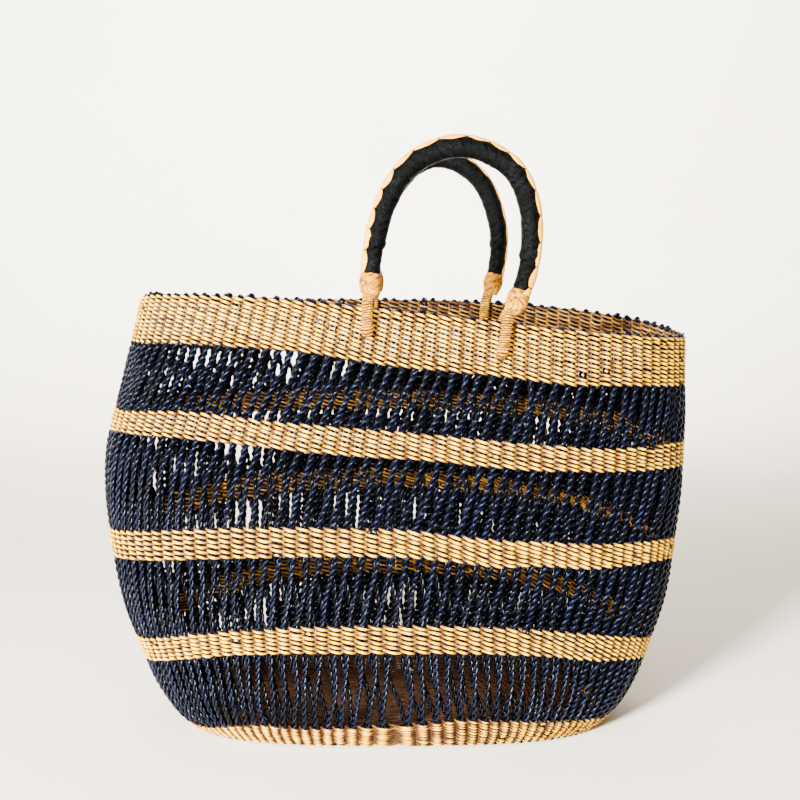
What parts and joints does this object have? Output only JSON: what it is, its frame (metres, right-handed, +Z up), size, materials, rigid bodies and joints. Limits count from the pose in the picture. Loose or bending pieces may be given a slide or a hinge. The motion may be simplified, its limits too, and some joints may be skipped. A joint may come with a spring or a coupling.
{
  "type": "woven market basket",
  "caption": "Oval woven market basket with bands of open cord lattice between natural grass bands and two upright arched leather handles looped through the rim.",
  "frame": {"origin": "centre of the basket's footprint, on the surface it stands on", "axes": "+X along the basket's length, +Y from the front wall to the back wall, +Z up"},
  "size_m": [0.4505, 0.2441, 0.449],
  "materials": {
    "natural_straw": "dry twined grass, satin on the outer stitches",
    "navy_cord": "dyed two-ply grass cord, satin",
    "black_leather": "soft creased leather, low gloss",
    "natural_leather": "untreated pale leather, satin",
    "loop_grass": "grass rope bound with fine grass, matte"
  },
  "bodies": {
    "basket": {"woven_base": "natural_straw", "twined_band_1": "natural_straw", "twined_band_2": "natural_straw", "twined_band_3": "natural_straw", "rim_band": "natural_straw", "open_lattice_1": "navy_cord", "open_lattice_2": "navy_cord", "open_lattice_3": "navy_cord", "open_lattice_4": "navy_cord", "rim_edging": "navy_cord", "front_handle_loop_left": "loop_grass", "front_handle_loop_right": "loop_grass", "back_handle_loop_left": "loop_grass", "back_handle_loop_right": "loop_grass"},
    "front_handle": {"front_handle_core": "loop_grass", "front_handle_leather": "black_leather", "front_handle_piping": "natural_leather", "front_handle_cap_left": "natural_leather", "front_handle_cap_right": "natural_leather"},
    "back_handle": {"back_handle_core": "loop_grass", "back_handle_leather": "black_leather", "back_handle_piping": "natural_leather", "back_handle_cap_left": "natural_leather", "back_handle_cap_right": "natural_leather"}
  },
  "joints": [
    {"name": "front_handle_swing", "type": "hinge", "parent": "basket", "child": "front_handle", "pos_m": [0.03235, -0.0999, 0.32295], "axis": [0.9933, 0.0262, -0.1127], "range_deg": [-50, 70], "deforming": ["front_handle_loop_left", "front_handle_loop_right"]},
    {"name": "back_handle_swing", "type": "hinge", "parent": "basket", "child": "back_handle", "pos_m": [0.03235, 0.09977, 0.32422], "axis": [-0.999, 0.0386, 0.0222], "range_deg": [-50, 70], "deforming": ["back_handle_loop_left", "back_handle_loop_right"]}
  ]
}
